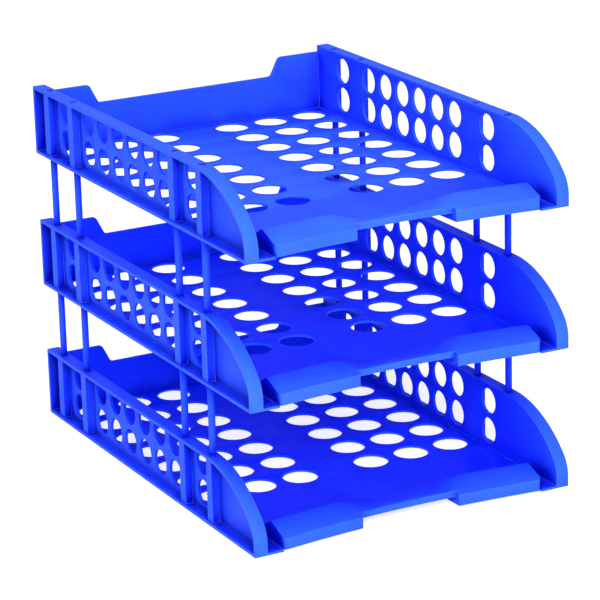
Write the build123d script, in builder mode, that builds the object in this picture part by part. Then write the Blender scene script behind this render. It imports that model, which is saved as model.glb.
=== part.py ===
"""Three-tier letter tray stack: three identical moulded trays, one above the other on sixteen posts.

Millimetres. X runs across the trays, Y from the open front (-Y) to the back wall (+Y) and Z up.
The origin is on the surface that the bottom tray stands on, under the middle of the trays.
"""

import os
from math import asin, cos, degrees, radians, sin, sqrt

from build123d import *

os.makedirs("parts", exist_ok=True)

# ---- Tray ----
tray_width = 260.0  # over the flanges of both sides
tray_depth = 354.0
rim_height = 53.0  # top of the side flanges over the tray's underside
tray_pitch = 107.0  # one tray's underside to the next
floor_thickness = 1.6
wall_thickness = 2.2
flange_width = 10.0  # from a side panel's inner face to the edge of its flange

# ---- Front end of each side: two arcs take the level rim down to an upright edge ----
shoulder_radius = 89.5
shoulder_angle = 48.0
nose_radius = 23.4

# ---- Back wall: a high tab beside each side and a low middle ----
tab_drop = 5.0  # from the rim
low_drop = 20.0
tab_reach = 44.0  # a side panel's inner face to the low stretch
step_run = 7.5  # length along X of the slant between them
step_round = 4.0

# ---- Round holes through the floor, in three columns on each side of a plain middle strip ----
floor_web = 8.4  # least floor left between two holes
floor_hole_sides = 8  # flats that stand for the circle, with their corners on it
floor_columns = 3
floor_aisle = 60.6  # between the two columns nearest the middle
floor_side_margin = 19.7  # outer column to the side panel's inner face
floor_row_spacing = 36.0  # about; the rows share out the length evenly
floor_front_margin = 118.4  # front edge of the tray to the first row
floor_back_margin = 20.2

# ---- Round holes through the sides, in two rows ----
side_web = 5.9  # least panel left between two columns
side_row_web = 3.7  # least panel left between the two rows
side_hole_sides = 8
side_low_margin = 15.9  # lower row over the tray's underside
side_high_margin = 13.4  # upper row under the rim
side_spacing = 26.0  # about; the columns between the pairs of sleeves share out the length evenly
side_front_margin = 24.2  # post to the first column behind it
side_back_margin = 19.3  # last column to the post behind it

# ---- Posts, and the sleeves that hold them: a pair near the front and a pair near the back ----
post_radius = 2.6
post_sides = 12  # flats that stand for the circle, with their corners on it
post_clearance = 0.05  # from the corners of a post to the flats of its socket
socket_sides = 6
socket_web = 5.0  # between the upper and the lower socket of a sleeve
socket_inner_wall = 1.7  # inner face of the side panel to the socket
socket_outer_wall = 1.3
sleeve_length = 8.0  # along Y
front_pair = 94.5  # front edge of the tray to the middle of the front pair
back_pair = 42.5  # back edge of the tray to the middle of the back pair
pair_spacing = 44.0

# ---- Lip: two raised pads with a low finger gap between them ----
lip_radius = 820.0  # in plan the lip's face is hollow, and its ends come level with the tray's front edge
lip_run = 43.5  # pads' face to the foot of the ramp behind the lip
trough_width = 13.0  # floor left between a pad and the side beside it
pad_height = 16.5
pad_face_bottom = 1.0
pad_face_height = 9.6
pad_slope_run = 18.0
pad_crest_width = 2.5
pad_end_round = 3.0
gap_half_width = 40.0
gap_setback = 4.5  # pads' face to the face of the finger gap
gap_height = 11.7
gap_face_bottom = 6.7
gap_face_height = 11.0
gap_slope_run = 0.8
gap_crest_width = 2.0
gap_end_start = 36.0  # middle of the tray to where a pad's slanted end leaves the gap's crest
gap_end_run = 15.0  # length along X from there to the pad's crest


def shared_out(first, last, spacing):
    """Even places from first to last, about a spacing apart."""
    steps = max(1, round((last - first) / spacing))
    return [first + (last - first) * k / steps for k in range(steps + 1)]


# ---- Worked out from the sizes above ----
front = -tray_depth / 2
back = tray_depth / 2
panel_inner = tray_width / 2 - flange_width
panel_outer = panel_inner + wall_thickness
shoulder_sine = sin(radians(shoulder_angle))
shoulder_start = front + shoulder_radius * shoulder_sine + nose_radius * (1 - shoulder_sine)
low_half_width = panel_inner - tab_reach

post_ys = [
    middle + shift
    for middle in (front + front_pair, back - back_pair)
    for shift in (-pair_spacing / 2, pair_spacing / 2)
]
socket_radius = post_radius + post_clearance  # to its flats
socket_depth = (rim_height - socket_web) / 2
post_x = panel_inner + socket_inner_wall + socket_radius
sleeve_width = socket_inner_wall + 2 * socket_radius + socket_outer_wall
post_length = tray_pitch - rim_height + 2 * socket_depth

column_pitch = (panel_inner - floor_side_margin - floor_aisle / 2) / (floor_columns - 1)
column_xs = [floor_aisle / 2 + column_pitch * k for k in range(floor_columns)]
row_ys = shared_out(front + floor_front_margin, back - floor_back_margin, floor_row_spacing)
floor_hole_radius = (min(column_pitch, row_ys[1] - row_ys[0]) - floor_web) / 2

hole_zs = (side_low_margin, rim_height - side_high_margin)
hole_ys = shared_out(post_ys[1] + side_front_margin, post_ys[2] - side_back_margin, side_spacing)
side_hole_radius = min(hole_ys[1] - hole_ys[0] - side_web, hole_zs[1] - hole_zs[0] - side_row_web) / 2
hole_ys += [front + front_pair, back - back_pair]

pad_half_reach = panel_inner - trough_width
lip_setback = lip_radius - sqrt(lip_radius**2 - pad_half_reach**2)  # of the pads' face at the middle
lip_face = front + lip_setback
lip_axis = lip_face - lip_radius  # Y of the upright axis that the lip is turned about
turn_margin = 0.5  # degrees that the lip is turned past the pads' ends, before these are cut
lip_half_angle = degrees(asin(pad_half_reach / lip_radius)) + turn_margin
gap_end_slope = (pad_height - gap_height) / gap_end_run
through = 1.0  # how far a cutter runs past a face
sides = (-1, 1)  # left and right


def turned(corners, inset=0.0):
    """A section, given along the lip's radius and up, turned about the upright axis."""
    start = radians(lip_half_angle)
    outwards = (sin(start), cos(start), 0)
    radial = Plane(origin=(0, lip_axis, 0), x_dir=outwards, z_dir=(cos(start), -sin(start), 0))
    with BuildPart() as ring:
        with BuildSketch(radial):
            with BuildLine():
                Polyline(*[(lip_radius + run, height) for run, height in corners], close=True)
            make_face()
            if inset:
                offset(amount=-inset, kind=Kind.INTERSECTION, mode=Mode.REPLACE)
        revolve(axis=Axis((0, lip_axis, 0), (0, 0, 1)), revolution_arc=2 * lip_half_angle)
    return ring.part


def lip_section(setback, face_bottom, face_height, slope_run, height, crest_width, inset):
    """A stretch of lip: face, slope, crest and ramp; with an inset it is the hollow under that stretch."""
    foot = -inset - through if inset else 0.0
    crest_end = setback + slope_run + crest_width
    ramp_slope = (height - floor_thickness) / (lip_run - crest_end)
    corners = [
        (setback, foot if inset else face_bottom),
        (setback, face_height),
        (setback + slope_run, height),
        (crest_end, height),
        (lip_run + (floor_thickness - foot) / ramp_slope, foot),
    ]
    return turned(corners, inset)


def pad_section(inset):
    return lip_section(0, pad_face_bottom, pad_face_height, pad_slope_run, pad_height, pad_crest_width, inset)


def pad(side, inset):
    """A pad of the lip, slanted down at the finger gap and rounded in plan at its outer end."""
    low = -inset - through
    high = pad_height + through
    round_x = pad_half_reach - pad_end_round
    round_y = lip_axis + sqrt((lip_radius + pad_end_round) ** 2 - round_x**2)
    tangent_x = round_x * lip_radius / (lip_radius + pad_end_round)
    with BuildPart() as block:
        add(pad_section(inset))
        with BuildSketch(Plane.XZ.offset(-lip_face)):
            with BuildLine():
                Polyline(
                    (side * (gap_end_start + (low - gap_height) / gap_end_slope), low),
                    (side * (gap_end_start + (high - gap_height) / gap_end_slope), high),
                    (side * (pad_half_reach + 2 * inset), high),
                    (side * (pad_half_reach + 2 * inset), low),
                    close=True,
                )
            make_face()
            if inset:
                offset(amount=-inset, kind=Kind.INTERSECTION, mode=Mode.REPLACE)
        extrude(amount=2 * lip_run, both=True, mode=Mode.INTERSECT)
        with BuildSketch(Plane.XY.offset(low)):
            with Locations((0, lip_face)):
                Rectangle(2 * (pad_half_reach - inset), 4 * lip_run)
            if not inset:
                with Locations((side * (tangent_x + pad_half_reach) / 2, round_y - lip_run)):
                    Rectangle(pad_half_reach - tangent_x, 2 * lip_run, mode=Mode.SUBTRACT)
                with Locations((side * round_x, round_y)):
                    Circle(pad_end_round)
        extrude(amount=high - low, mode=Mode.INTERSECT)
    return block.part


def gap_section(inset):
    return lip_section(
        gap_setback, gap_face_bottom, gap_face_height, gap_slope_run, gap_height, gap_crest_width, inset
    )


def finger_gap(inset):
    """The low middle stretch of the lip."""
    with BuildPart() as block:
        add(gap_section(inset))
        with Locations((0, lip_face, 0)):
            Box(2 * gap_half_width, 4 * lip_run, 4 * pad_height, mode=Mode.INTERSECT)
    return block.part


def gap_wall():
    """The upright wall of the finger gap, whole again where the hollows under the pads reach it."""
    corners = [
        (gap_setback, gap_face_bottom),
        (gap_setback, gap_face_height),
        (gap_setback + gap_slope_run, gap_height),
        (gap_setback + wall_thickness, gap_height),
        (gap_setback + wall_thickness, gap_face_bottom),
    ]
    with BuildPart() as wall:
        add(turned(corners))
        with Locations((0, lip_face, 0)):
            Box(2 * gap_half_width, 4 * lip_run, 4 * pad_height, mode=Mode.INTERSECT)
    return wall.part


def gap_front():
    """The space in front of the finger gap's face and under it."""
    under = gap_setback + wall_thickness + through
    high = pad_height + through
    corners = [
        (-lip_setback, -through),
        (under, -through),
        (under, gap_face_bottom),
        (gap_setback, gap_face_bottom),
        (gap_setback, high),
        (-lip_setback, high),
    ]
    with BuildPart() as space:
        add(turned(corners))
        with Locations((0, lip_face, 0)):
            Box(2 * gap_half_width, 4 * lip_run, 4 * pad_height, mode=Mode.INTERSECT)
    return space.part


def gap_rib(side):
    """Upright rib under the lip, which closes a pad at the finger gap."""
    rib_top = gap_height + gap_end_slope * (gap_half_width - gap_end_start)
    with BuildPart() as rib:
        add(pad_section(0))
        with Locations((side * (gap_half_width + wall_thickness / 2), lip_face, rib_top / 2)):
            Box(wall_thickness, 4 * lip_run, rib_top, mode=Mode.INTERSECT)
    return rib.part


# ---- Outline of a side, seen along X ----
with BuildSketch() as side_outline:
    with BuildLine():
        rim = Line((back, rim_height), (shoulder_start, rim_height))
        shoulder = JernArc(rim @ 1, rim % 1, shoulder_radius, shoulder_angle)
        nose = JernArc(shoulder @ 1, shoulder % 1, nose_radius, 90 - shoulder_angle)
        Polyline(nose @ 1, (front, 0), (back, 0), (back, rim_height))
    make_face()

# ---- The moulding that all three trays share, with its underside at Z = 0 ----
with BuildPart() as moulding:
    # Floor, open under the lip and in front of it
    with BuildSketch():
        Rectangle(2 * panel_inner + wall_thickness, tray_depth)
    extrude(amount=floor_thickness)
    with BuildSketch():
        with Locations((0, lip_axis)):
            Circle(lip_radius + lip_run / 2)
        Rectangle(2 * pad_half_reach, 2 * tray_depth, mode=Mode.INTERSECT)
    extrude(amount=floor_thickness, mode=Mode.SUBTRACT)

    # Sides: a panel with a flange all round its edge, open outwards
    for side in sides:
        with BuildSketch(Plane.YZ.offset(side * panel_inner)):
            add(side_outline.sketch)
        extrude(amount=side * flange_width)
        with BuildSketch(Plane.YZ.offset(side * panel_outer)):
            add(side_outline.sketch)
            offset(amount=-wall_thickness, kind=Kind.INTERSECTION, mode=Mode.REPLACE)
        extrude(amount=side * flange_width, mode=Mode.SUBTRACT)

    # Back wall
    tab_height = rim_height - tab_drop
    low_height = rim_height - low_drop
    with BuildSketch(Plane.XZ.offset(-back)):
        with BuildLine():
            Polyline(
                (-panel_outer, 0),
                (-panel_outer, tab_height),
                (-low_half_width - step_run, tab_height),
                (-low_half_width, low_height),
                (low_half_width, low_height),
                (low_half_width + step_run, tab_height),
                (panel_outer, tab_height),
                (panel_outer, 0),
                close=True,
            )
        back_face = make_face()
        step_end = low_half_width + step_run
        fillet(back_face.vertices().filter_by_position(Axis.X, -step_end, step_end), step_round)
    extrude(amount=wall_thickness)

    # Lip
    for side in sides:
        add(pad(side, 0))
    add(finger_gap(0))
    for side in sides:
        add(pad(side, wall_thickness), mode=Mode.SUBTRACT)
    add(finger_gap(wall_thickness), mode=Mode.SUBTRACT)
    for side in sides:
        add(gap_rib(side))
    add(gap_wall())
    add(gap_front(), mode=Mode.SUBTRACT)

    # Post sleeves, each with a blind socket from above and another from below
    sleeve_x = panel_inner + sleeve_width / 2
    with BuildSketch(Plane.XY.offset(floor_thickness / 2)):
        with Locations([(side * sleeve_x, y) for side in sides for y in post_ys]):
            Rectangle(sleeve_width, sleeve_length)
    extrude(amount=rim_height - wall_thickness)
    with BuildSketch(Plane.XY, Plane.XY.offset(rim_height - socket_depth)):
        with Locations([(side * post_x, y) for side in sides for y in post_ys]):
            RegularPolygon(socket_radius, socket_sides, major_radius=False, rotation=180 / socket_sides)
    extrude(amount=socket_depth, mode=Mode.SUBTRACT)

    # Round holes through the floor
    with BuildSketch():
        with Locations([(side * x, y) for side in sides for x in column_xs for y in row_ys]):
            RegularPolygon(floor_hole_radius, floor_hole_sides, rotation=180 / floor_hole_sides)
    extrude(amount=floor_thickness, mode=Mode.SUBTRACT)

    # Round holes through both sides
    with BuildSketch(Plane.YZ):
        with Locations([(y, z) for y in hole_ys for z in hole_zs]):
            RegularPolygon(side_hole_radius, side_hole_sides, rotation=180 / side_hole_sides)
    extrude(amount=panel_outer + through, both=True, mode=Mode.SUBTRACT)

# ---- One post, standing on Z = 0 ----
with BuildPart() as post:
    with BuildSketch():
        RegularPolygon(post_radius, post_sides, rotation=180 / post_sides)
    extrude(amount=post_length)

# ---- Trays, one above the other ----
for tier, tray_name in enumerate(("bottom_tray", "middle_tray", "top_tray")):
    with BuildPart(Plane.XY.offset(tier * tray_pitch)) as tray:
        add(moulding.part)
    tray.part.label = tray_name
    export_step(tray.part, f"parts/{tray_name}.step")

# ---- Posts, counted from the front; each fills a socket below it and another above it ----
for tier, tier_name in enumerate(("lower", "upper")):
    post_bottom = tier * tray_pitch + rim_height - socket_depth
    for side, side_name in zip(sides, ("left", "right")):
        for place, post_y in enumerate(post_ys, start=1):
            with BuildPart() as placed_post:
                with Locations((side * post_x, post_y, post_bottom)):
                    add(post.part)
            post_name = f"{tier_name}_post_{side_name}_{place}"
            placed_post.part.label = post_name
            export_step(placed_post.part, f"parts/{post_name}.step")
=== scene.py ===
"""Looks of the three-tier letter tray stack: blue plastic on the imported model, in metres."""

import math

import bmesh
import bpy
from mathutils import Matrix, Vector


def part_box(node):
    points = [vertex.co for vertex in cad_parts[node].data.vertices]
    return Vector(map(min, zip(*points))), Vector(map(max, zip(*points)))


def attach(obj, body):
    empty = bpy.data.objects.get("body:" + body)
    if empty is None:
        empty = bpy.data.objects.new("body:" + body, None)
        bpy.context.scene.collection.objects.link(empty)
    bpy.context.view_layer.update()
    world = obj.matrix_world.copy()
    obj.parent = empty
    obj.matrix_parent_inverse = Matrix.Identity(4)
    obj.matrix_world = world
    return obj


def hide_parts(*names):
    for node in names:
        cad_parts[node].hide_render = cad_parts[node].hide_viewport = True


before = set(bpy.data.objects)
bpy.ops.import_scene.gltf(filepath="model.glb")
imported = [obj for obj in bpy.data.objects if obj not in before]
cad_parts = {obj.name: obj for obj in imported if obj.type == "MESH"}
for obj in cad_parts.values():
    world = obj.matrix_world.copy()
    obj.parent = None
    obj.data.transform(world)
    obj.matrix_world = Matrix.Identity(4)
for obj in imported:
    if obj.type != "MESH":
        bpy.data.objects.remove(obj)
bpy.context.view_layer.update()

TRAYS = ("bottom_tray", "middle_tray", "top_tray")

# ---- Small shader helpers ----

# Places of the colour sockets on a Mix node, whose names are shared with its other sockets
MIX_FIRST, MIX_SECOND, MIX_RESULT = 6, 7, 2
WHITE = (1, 1, 1, 1)


def new_material(name):
    material = bpy.data.materials.new(name)
    material.use_nodes = True
    tree = material.node_tree
    tree.nodes.clear()
    return material, tree


def node(tree, kind, **values):
    made = tree.nodes.new(kind)
    for key, value in values.items():
        setattr(made, key, value)
    return made


def noise(tree, coords, scale, detail, roughness=0.5):
    made = node(tree, "ShaderNodeTexNoise")
    made.inputs["Scale"].default_value = scale
    made.inputs["Detail"].default_value = detail
    made.inputs["Roughness"].default_value = roughness
    tree.links.new(coords, made.inputs["Vector"])
    return made.outputs["Fac"]


def remap(tree, value, low, high, out_low=0.0, out_high=1.0):
    made = node(tree, "ShaderNodeMapRange")
    made.inputs["From Min"].default_value = low
    made.inputs["From Max"].default_value = high
    made.inputs["To Min"].default_value = out_low
    made.inputs["To Max"].default_value = out_high
    tree.links.new(value, made.inputs["Value"])
    return made.outputs["Result"]


def mix_colour(tree, factor, first, second):
    made = node(tree, "ShaderNodeMix", data_type="RGBA")
    tree.links.new(factor, made.inputs["Factor"])
    for value, place in ((first, MIX_FIRST), (second, MIX_SECOND)):
        if isinstance(value, tuple):
            made.inputs[place].default_value = value
        else:
            tree.links.new(value, made.inputs[place])
    return made.outputs[MIX_RESULT]


def openness(tree, reach, closed, open_):
    """How free a surface is of others within reach: 0 where it is hemmed in, 1 where it is open."""
    around = node(tree, "ShaderNodeAmbientOcclusion", samples=4)
    around.inputs["Distance"].default_value = reach
    return remap(tree, around.outputs["AO"], closed, open_)


def bump(tree, height, strength, distance, normal=None):
    made = node(tree, "ShaderNodeBump")
    made.inputs["Strength"].default_value = strength
    made.inputs["Distance"].default_value = distance
    tree.links.new(height, made.inputs["Height"])
    if normal:
        tree.links.new(normal, made.inputs["Normal"])
    return made.outputs["Normal"]


# ---- Moulded plastic ----

FLOW_SCALE = 9.0  # clouds of slightly paler colour
SPECK_SCALE = 900.0
SPECK_SHARE = 0.12  # of the worn colour in a speck
SHADE_REACH = 0.3  # the space between two trays counts as hemmed in, and gets painted shade
SHADE_RANGE = (0.2, 1.0)
CREVICE_SHADE_REACH = 0.016  # so do the corners of the channels, and the troughs beside the pads, with a darker painted shade
CREVICE_SHADE_RANGE = (0.5, 0.92)
EDGE_RADIUS = 0.0009  # width of the paler band along an edge: rubbed wear with a painted highlight
EDGE_RANGE = (0.99, 0.8)  # agreement of the rounded normal and the true one
WEAR_SCALE = 60.0
WEAR_AND_HIGHLIGHT_SHARE = (0.15, 0.8)
SINK_SCALE = 28.0
SINK_DEPTH = 0.0006
SINK_STRENGTH = 0.25
GRAIN_DEPTH = 0.00006
GRAIN_STRENGTH = 0.18
GLOSS_SPREAD = 0.06  # of the roughness, each way
PLASTIC_IOR = 1.49
SPECULAR_LEVEL = 0.05


def moulded_plastic(name, deep, pale, shaded, crevice_shade, worn_and_highlit, grain_scale, roughness):
    """Plastic with a low sheen: mottled, with painted shade in hollows and between trays, fine
    grain, and rubbed edges with a painted highlight.
    """
    material, tree = new_material(name)
    link = tree.links.new
    coords = node(tree, "ShaderNodeTexCoord").outputs["Object"]
    flow = noise(tree, coords, FLOW_SCALE, 4.0)
    speck = noise(tree, coords, SPECK_SCALE, 2.0)
    colour = mix_colour(tree, remap(tree, flow, 0.3, 0.7), deep, pale)
    colour = mix_colour(tree, remap(tree, speck, 0.62, 0.75, 0.0, SPECK_SHARE), colour, worn_and_highlit)

    # Painted shade: the blue turns deeper and purer where the surface is hemmed in, between the
    # trays and in crevices and troughs
    colour = mix_colour(tree, openness(tree, SHADE_REACH, *SHADE_RANGE), shaded, colour)
    colour = mix_colour(tree, openness(tree, CREVICE_SHADE_REACH, *CREVICE_SHADE_RANGE), crevice_shade, colour)

    # Edges: where a rounded normal leaves the true one, the plastic turns paler in patches: rubbed
    # wear with a painted highlight on the rounded edge
    geometry = node(tree, "ShaderNodeNewGeometry")
    rounded = node(tree, "ShaderNodeBevel", samples=4)
    rounded.inputs["Radius"].default_value = EDGE_RADIUS
    agreement = node(tree, "ShaderNodeVectorMath", operation="DOT_PRODUCT")
    link(geometry.outputs["Normal"], agreement.inputs[0])
    link(rounded.outputs["Normal"], agreement.inputs[1])
    edge = remap(tree, agreement.outputs["Value"], *EDGE_RANGE)
    patchy = remap(tree, noise(tree, coords, WEAR_SCALE, 5.0, 0.7), 0.4, 0.7, *WEAR_AND_HIGHLIGHT_SHARE)
    rubbed_and_highlit = node(tree, "ShaderNodeMath", operation="MULTIPLY")
    link(edge, rubbed_and_highlit.inputs[0])
    link(patchy, rubbed_and_highlit.inputs[1])
    colour = mix_colour(tree, rubbed_and_highlit.outputs["Value"], colour, worn_and_highlit)

    # Relief: slow sink and flow marks, and a fine grain from the tool
    grain = noise(tree, coords, grain_scale, 4.0, 0.6)
    sink = bump(tree, noise(tree, coords, SINK_SCALE, 2.0), SINK_STRENGTH, SINK_DEPTH)
    relief = bump(tree, grain, GRAIN_STRENGTH, GRAIN_DEPTH, sink)
    gloss = remap(tree, grain, 0.3, 0.7, roughness - GLOSS_SPREAD, roughness + GLOSS_SPREAD)

    shader = node(tree, "ShaderNodeBsdfPrincipled")
    link(colour, shader.inputs["Base Color"])
    link(gloss, shader.inputs["Roughness"])
    link(relief, shader.inputs["Normal"])
    shader.inputs["IOR"].default_value = PLASTIC_IOR
    shader.inputs["Specular IOR Level"].default_value = SPECULAR_LEVEL
    output = node(tree, "ShaderNodeOutputMaterial")
    link(shader.outputs["BSDF"], output.inputs["Surface"])
    return material


tray_plastic = moulded_plastic(
    "tray_plastic",
    deep=(0.019, 0.077, 0.94, 1),
    pale=(0.026, 0.1, 0.99, 1),
    # painted shade: the shaded colour stands in for the shade between the trays, the crevice colour
    # for the shade in crevices and troughs
    shaded=(0.001, 0.008, 0.88, 1),
    crevice_shade=(0.0003, 0.001, 0.3, 1),
    # paler blue for specks and for rubbed edges; along the edges it is also a painted highlight
    worn_and_highlit=(0.08, 0.24, 1.0, 1),
    grain_scale=2200.0,
    roughness=0.42,
)
post_plastic = moulded_plastic(
    "post_plastic",
    deep=(0.014, 0.055, 0.88, 1),
    pale=(0.02, 0.08, 0.96, 1),
    # painted shade: the shaded colour stands in for the shade between the trays, the crevice colour
    # for the shade in crevices and troughs
    shaded=(0.001, 0.008, 0.84, 1),
    crevice_shade=(0.0003, 0.001, 0.3, 1),
    # paler blue for specks and for rubbed edges; along the edges it is also a painted highlight
    worn_and_highlit=(0.07, 0.2, 1.0, 1),
    grain_scale=3000.0,
    roughness=0.36,
)

# ---- Trays: true round holes, welded seams, small rounded edges and smooth curves ----

# The holes' places on a tray, in metres from the middle of the tray and from its underside
FLOOR_HOLE_RADIUS = 0.0133
FLOOR_HOLE_XS = (0.0303, 0.0653, 0.1003)
FLOOR_HOLE_FIRST = -0.0586
FLOOR_HOLE_PITCH = 0.0359
FLOOR_HOLE_ROWS = 7
FLOOR_THICKNESS = 0.0016
SIDE_HOLE_RADIUS = 0.01
SIDE_HOLE_ZS = (0.0159, 0.0396)
SIDE_HOLE_FIRST = -0.0363
SIDE_HOLE_PITCH = 0.0259
SIDE_HOLE_COLUMNS = 6
SIDE_HOLES_BETWEEN_POSTS = (-0.0825, 0.1345)
PANEL_OUTER = 0.1222
CUT_MARGIN = 0.00002  # keeps a round cutter just clear of the corners of the hole that it widens
CUT_SIDES = 48

WELD_DISTANCE = 0.00001
EDGE_WIDTH = 0.0004
EDGE_LEAST_ANGLE = math.radians(60)
SMOOTH_ANGLE = math.radians(50)


def tree_with_ends(name):
    tree = bpy.data.node_groups.new(name, "GeometryNodeTree")
    tree.interface.new_socket("Geometry", in_out="INPUT", socket_type="NodeSocketGeometry")
    tree.interface.new_socket("Geometry", in_out="OUTPUT", socket_type="NodeSocketGeometry")
    return tree, tree.nodes.new("NodeGroupInput"), tree.nodes.new("NodeGroupOutput")


def row_of_points(tree, join, start, step, count):
    row = node(tree, "GeometryNodeMeshLine", mode="OFFSET")
    row.inputs["Count"].default_value = count
    row.inputs["Start Location"].default_value = start
    row.inputs["Offset"].default_value = step
    tree.links.new(row.outputs["Mesh"], join.inputs["Geometry"])


def rods_on(tree, points, radius, length, rotation):
    rod_mesh = node(tree, "GeometryNodeMeshCylinder", fill_type="NGON")
    rod_mesh.inputs["Vertices"].default_value = CUT_SIDES
    rod_mesh.inputs["Radius"].default_value = radius + CUT_MARGIN
    rod_mesh.inputs["Depth"].default_value = length
    placed = node(tree, "GeometryNodeInstanceOnPoints")
    placed.inputs["Rotation"].default_value = rotation
    tree.links.new(points.outputs["Geometry"], placed.inputs["Points"])
    tree.links.new(rod_mesh.outputs["Mesh"], placed.inputs["Instance"])
    real = node(tree, "GeometryNodeRealizeInstances")
    tree.links.new(placed.outputs["Instances"], real.inputs["Geometry"])
    return real.outputs["Geometry"]


def round_holes(name, base):
    """Modifier tree that turns a tray's many-sided holes into round ones; base is its underside."""
    tree, start, end = tree_with_ends(name)
    floor_points = node(tree, "GeometryNodeJoinGeometry")
    floor_step = (0, FLOOR_HOLE_PITCH, 0)
    for x in FLOOR_HOLE_XS:
        for side in (-1, 1):
            place = (side * x, FLOOR_HOLE_FIRST, base + FLOOR_THICKNESS / 2)
            row_of_points(tree, floor_points, place, floor_step, FLOOR_HOLE_ROWS)
    side_points = node(tree, "GeometryNodeJoinGeometry")
    side_step = (0, SIDE_HOLE_PITCH, 0)
    for z in SIDE_HOLE_ZS:
        place = (0, SIDE_HOLE_FIRST, base + z)
        row_of_points(tree, side_points, place, side_step, SIDE_HOLE_COLUMNS)
        for y in SIDE_HOLES_BETWEEN_POSTS:
            row_of_points(tree, side_points, (0, y, base + z), (0, 0, 0), 1)
    upright, along_x = (0, 0, 0), (0, math.pi / 2, 0)
    across = 2 * PANEL_OUTER + FLOOR_THICKNESS
    cutters = node(tree, "GeometryNodeJoinGeometry")
    for rods in (
        rods_on(tree, floor_points, FLOOR_HOLE_RADIUS, 3 * FLOOR_THICKNESS, upright),
        rods_on(tree, side_points, SIDE_HOLE_RADIUS, across, along_x),
    ):
        tree.links.new(rods, cutters.inputs["Geometry"])
    cut = node(tree, "GeometryNodeMeshBoolean", operation="DIFFERENCE", solver="EXACT")
    tree.links.new(start.outputs[0], cut.inputs["Mesh 1"])
    tree.links.new(cutters.outputs["Geometry"], cut.inputs["Mesh 2"])
    painted = node(tree, "GeometryNodeSetMaterial")
    painted.inputs["Material"].default_value = tray_plastic
    tree.links.new(cut.outputs["Mesh"], painted.inputs["Geometry"])
    tree.links.new(painted.outputs["Geometry"], end.inputs[0])
    return tree


def smooth_by_angle(limit):
    """Modifier tree that shades smooth across edges flatter than limit, and sharp across others."""
    tree, start, end = tree_with_ends("smooth_by_angle")
    faces = node(tree, "GeometryNodeSetShadeSmooth", domain="FACE")
    faces.inputs["Shade Smooth"].default_value = True
    edges = node(tree, "GeometryNodeSetShadeSmooth", domain="EDGE")
    edges.inputs["Shade Smooth"].default_value = False
    angle = node(tree, "GeometryNodeInputMeshEdgeAngle")
    sharp = node(tree, "FunctionNodeCompare", operation="GREATER_THAN")
    sharp.inputs["B"].default_value = limit
    tree.links.new(angle.outputs["Unsigned Angle"], sharp.inputs["A"])
    tree.links.new(sharp.outputs["Result"], edges.inputs["Selection"])
    tree.links.new(start.outputs[0], faces.inputs["Geometry"])
    tree.links.new(faces.outputs["Geometry"], edges.inputs["Geometry"])
    tree.links.new(edges.outputs["Geometry"], end.inputs[0])
    return tree


smoothing = smooth_by_angle(SMOOTH_ANGLE)


def shade_smooth(piece):
    piece.modifiers.new("shade", "NODES").node_group = smoothing


for name in TRAYS:
    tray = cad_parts[name]
    for slot in tray.material_slots:
        slot.material = tray_plastic
    tray_low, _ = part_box(name)
    tray.modifiers.new("weld", "WELD").merge_threshold = WELD_DISTANCE
    holes = tray.modifiers.new("round_holes", "NODES")
    holes.node_group = round_holes(name + "_round_holes", tray_low[2])
    bevel = tray.modifiers.new("edges", "BEVEL")
    bevel.width = EDGE_WIDTH
    bevel.segments = 2
    bevel.limit_method = "ANGLE"
    bevel.angle_limit = EDGE_LEAST_ANGLE
    bevel.use_clamp_overlap = True
    bevel.harden_normals = False
    shade_smooth(tray)

# ---- Posts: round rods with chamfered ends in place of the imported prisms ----

POST_RADIUS = 0.0026
POST_CHAMFER = 0.0006
POST_SIDES = 40


def rod(name, low, high):
    """Upright rod from low to high with a small chamfer at each end."""
    rings = (
        (low.z, POST_RADIUS - POST_CHAMFER),
        (low.z + POST_CHAMFER, POST_RADIUS),
        (high.z - POST_CHAMFER, POST_RADIUS),
        (high.z, POST_RADIUS - POST_CHAMFER),
    )
    x = (low.x + high.x) / 2
    y = (low.y + high.y) / 2
    turns = [2 * math.pi * k / POST_SIDES for k in range(POST_SIDES)]
    mesh = bmesh.new()
    loops = [
        [mesh.verts.new((x + r * math.cos(a), y + r * math.sin(a), z)) for a in turns]
        for z, r in rings
    ]
    for lower, upper in zip(loops, loops[1:]):
        for k in range(POST_SIDES):
            n = (k + 1) % POST_SIDES
            mesh.faces.new((lower[k], lower[n], upper[n], upper[k]))
    mesh.faces.new(reversed(loops[0]))
    mesh.faces.new(loops[-1])
    data = bpy.data.meshes.new(name)
    mesh.to_mesh(data)
    mesh.free()
    made = bpy.data.objects.new(name, data)
    bpy.context.collection.objects.link(made)
    data.materials.append(post_plastic)
    shade_smooth(made)
    return made


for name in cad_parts:
    if "_post_" in name:
        low, high = (Vector(corner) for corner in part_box(name))
        piece = rod("rod_" + name, low, high)
        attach(piece, name.split("_")[0] + "_posts_body")
        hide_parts(name)

# ---- Floor and backdrop ----

FAR = 6  # reach of the floor and height of the wall
GROUND = -0.0005  # keeps the floor just under the bottom tray


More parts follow.
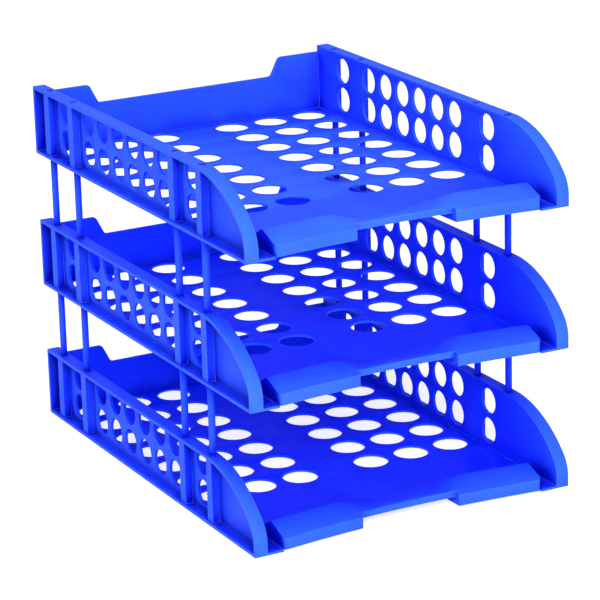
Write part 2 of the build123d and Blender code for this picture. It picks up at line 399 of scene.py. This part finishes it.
def white_to_camera(name, glow, paint, shade_paint):
    """White for the light that it bounces; to the camera, some of its brightness is its glow."""
    material, tree = new_material(name)
    link = tree.links.new
    bounce = node(tree, "ShaderNodeBsdfDiffuse")
    bounce.inputs["Color"].default_value = (paint, paint, paint, 1)
    seen = node(tree, "ShaderNodeBsdfDiffuse")
    seen.inputs["Color"].default_value = (shade_paint, shade_paint, shade_paint, 1)
    light = node(tree, "ShaderNodeEmission")
    light.inputs["Color"].default_value = WHITE
    light.inputs["Strength"].default_value = glow
    both = node(tree, "ShaderNodeAddShader")
    link(seen.outputs["BSDF"], both.inputs[0])
    link(light.outputs["Emission"], both.inputs[1])
    path = node(tree, "ShaderNodeLightPath")
    mixed = node(tree, "ShaderNodeMixShader")
    link(path.outputs["Is Camera Ray"], mixed.inputs["Fac"])
    link(bounce.outputs["BSDF"], mixed.inputs[1])
    link(both.outputs["Shader"], mixed.inputs[2])
    output = node(tree, "ShaderNodeOutputMaterial")
    link(mixed.outputs["Shader"], output.inputs["Surface"])
    return material


def sheet(name, corners, material):
    """Stage sheet that shades nothing, so that the plastic's openness leaves it out."""
    data = bpy.data.meshes.new(name)
    data.from_pydata(corners, [], [tuple(range(len(corners)))])
    made = bpy.data.objects.new(name, data)
    bpy.context.collection.objects.link(made)
    data.materials.append(material)
    made.visible_shadow = False


sheet(
    "studio_floor",
    [(-FAR, -FAR, GROUND), (FAR, -FAR, GROUND), (FAR, FAR, GROUND), (-FAR, FAR, GROUND)],
    white_to_camera("studio_floor", glow=0.68, paint=0.9, shade_paint=0.55),
)
sheet(
    "studio_wall",
    [(-FAR, FAR, GROUND), (FAR, FAR, GROUND), (FAR, FAR, FAR), (-FAR, FAR, FAR)],
    white_to_camera("studio_wall", glow=1.0, paint=0.9, shade_paint=0.1),
)

# ---- Light ----

LAMP_AIM = (0, 0, 0.12)
LAMP_SIZE = 1.6
SKY_STRENGTH = 0.34

world = bpy.data.worlds.new("studio")
bpy.context.scene.world = world
world.use_nodes = True
sky = world.node_tree.nodes["Background"]
sky.inputs["Color"].default_value = WHITE
sky.inputs["Strength"].default_value = SKY_STRENGTH


def soft_light(name, place, power):
    lamp = bpy.data.lights.new(name, "AREA")
    lamp.shape = "SQUARE"
    lamp.size = LAMP_SIZE
    lamp.energy = power
    made = bpy.data.objects.new(name, lamp)
    made.location = place
    aim = Vector(LAMP_AIM) - Vector(place)
    made.rotation_euler = aim.to_track_quat("-Z", "Y").to_euler()
    bpy.context.collection.objects.link(made)


soft_light("key", (-0.9, -2.1, 1.4), 115)
soft_light("top", (-0.3, 0.2, 2.4), 22)

# ---- Camera, fitted to the photograph ----

CAMERA_PLACE = (-0.968268, -1.835524, 0.782182)
CAMERA_HEADING = -27.922  # degrees about Z
CAMERA_DIP = 17.733  # degrees under level
CAMERA_ROLL = -1.55
SENSOR_WIDTH = 36.0  # mm
FOCAL_LENGTH = 173.007
CLIP_END = 50.0

lens = bpy.data.cameras.new("camera")
lens.sensor_width = SENSOR_WIDTH
lens.lens = FOCAL_LENGTH
lens.clip_end = CLIP_END
camera = bpy.data.objects.new("camera", lens)
turn = (
    Matrix.Rotation(math.radians(CAMERA_HEADING), 4, "Z")
    @ Matrix.Rotation(math.radians(90 - CAMERA_DIP), 4, "X")
    @ Matrix.Rotation(math.radians(CAMERA_ROLL), 4, "Z")
)
camera.matrix_world = Matrix.Translation(CAMERA_PLACE) @ turn
bpy.context.collection.objects.link(camera)
bpy.context.scene.camera = camera
bpy.context.scene.view_settings.view_transform = "Standard"
